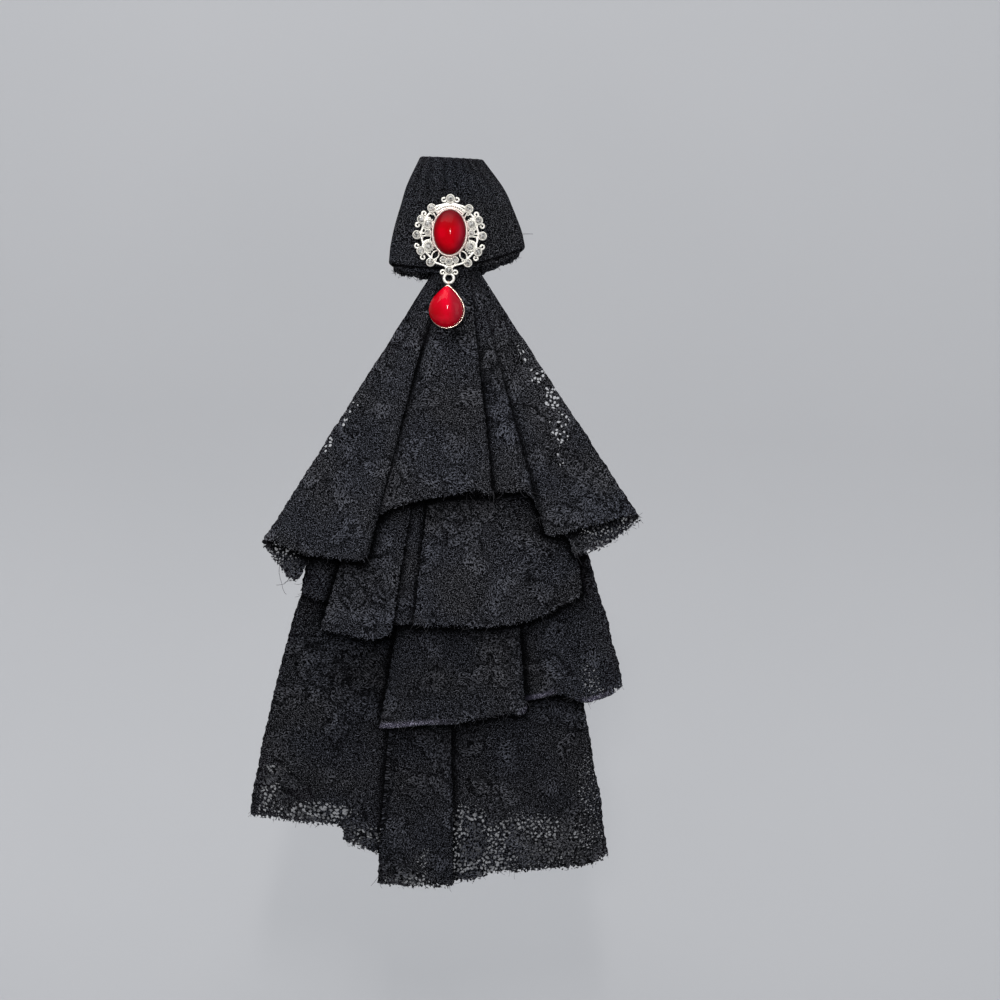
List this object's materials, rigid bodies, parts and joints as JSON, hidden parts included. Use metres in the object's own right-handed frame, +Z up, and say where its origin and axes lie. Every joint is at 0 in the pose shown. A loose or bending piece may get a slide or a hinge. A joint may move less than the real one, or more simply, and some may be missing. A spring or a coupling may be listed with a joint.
{
  "type": "lace jabot with brooch",
  "caption": "Lace jabot that pins to a collar: a folded knot with a pierced oval brooch and a swinging pear drop, above layered gathered tiers of floral lace.",
  "frame": {"origin": "middle of the pin behind the knot, where the jabot is pinned to a collar", "axes": "+Z up, +X to the wearer's left, -Y to the front, away from the wearer"},
  "size_m": [0.1514, 0.0305, 0.2915],
  "materials": {
    "black_lace": "matt black floral lace with a soft sheen",
    "silver_metal": "bright silver-coloured cast filigree",
    "rose_metal": "polished rose-coloured metal",
    "clear_stone": "clear cut stone with a foiled back",
    "red_stone": "glossy deep red"
  },
  "bodies": {
    "jabot": {"collar_pin": "silver_metal", "knot": "black_lace", "tier_1": "black_lace", "tier_2": "black_lace", "tier_3": "black_lace", "tier_4": "black_lace", "brooch_frame": "silver_metal", "cabochon": "red_stone", "rim_stone_01": "clear_stone", "rim_stone_02": "clear_stone", "rim_stone_03": "clear_stone", "rim_stone_04": "clear_stone", "rim_stone_05": "clear_stone", "rim_stone_06": "clear_stone", "rim_stone_07": "clear_stone", "rim_stone_08": "clear_stone", "rim_stone_09": "clear_stone", "rim_stone_10": "clear_stone", "rim_stone_11": "clear_stone", "rim_stone_12": "clear_stone", "inner_stone_01": "clear_stone", "inner_stone_02": "clear_stone", "inner_stone_03": "clear_stone", "inner_stone_04": "clear_stone", "inner_stone_05": "clear_stone", "inner_stone_06": "clear_stone", "inner_stone_07": "clear_stone", "inner_stone_08": "clear_stone", "inner_stone_09": "clear_stone"},
    "ring": {"jump_ring": "rose_metal"},
    "drop": {"drop_setting": "rose_metal", "drop_stone": "red_stone"}
  },
  "joints": [
    {"name": "ring_front_swing", "type": "hinge", "parent": "jabot", "child": "ring", "pos_m": [0.00055, -0.0156, -0.03079], "axis": [-1, 0, 0], "range_deg": [0, 75]},
    {"name": "drop_side_swing", "type": "hinge", "parent": "ring", "child": "drop", "pos_m": [0.00055, -0.0156, -0.03289], "axis": [0, 1, 0], "range_deg": [-25, 25]}
  ]
}
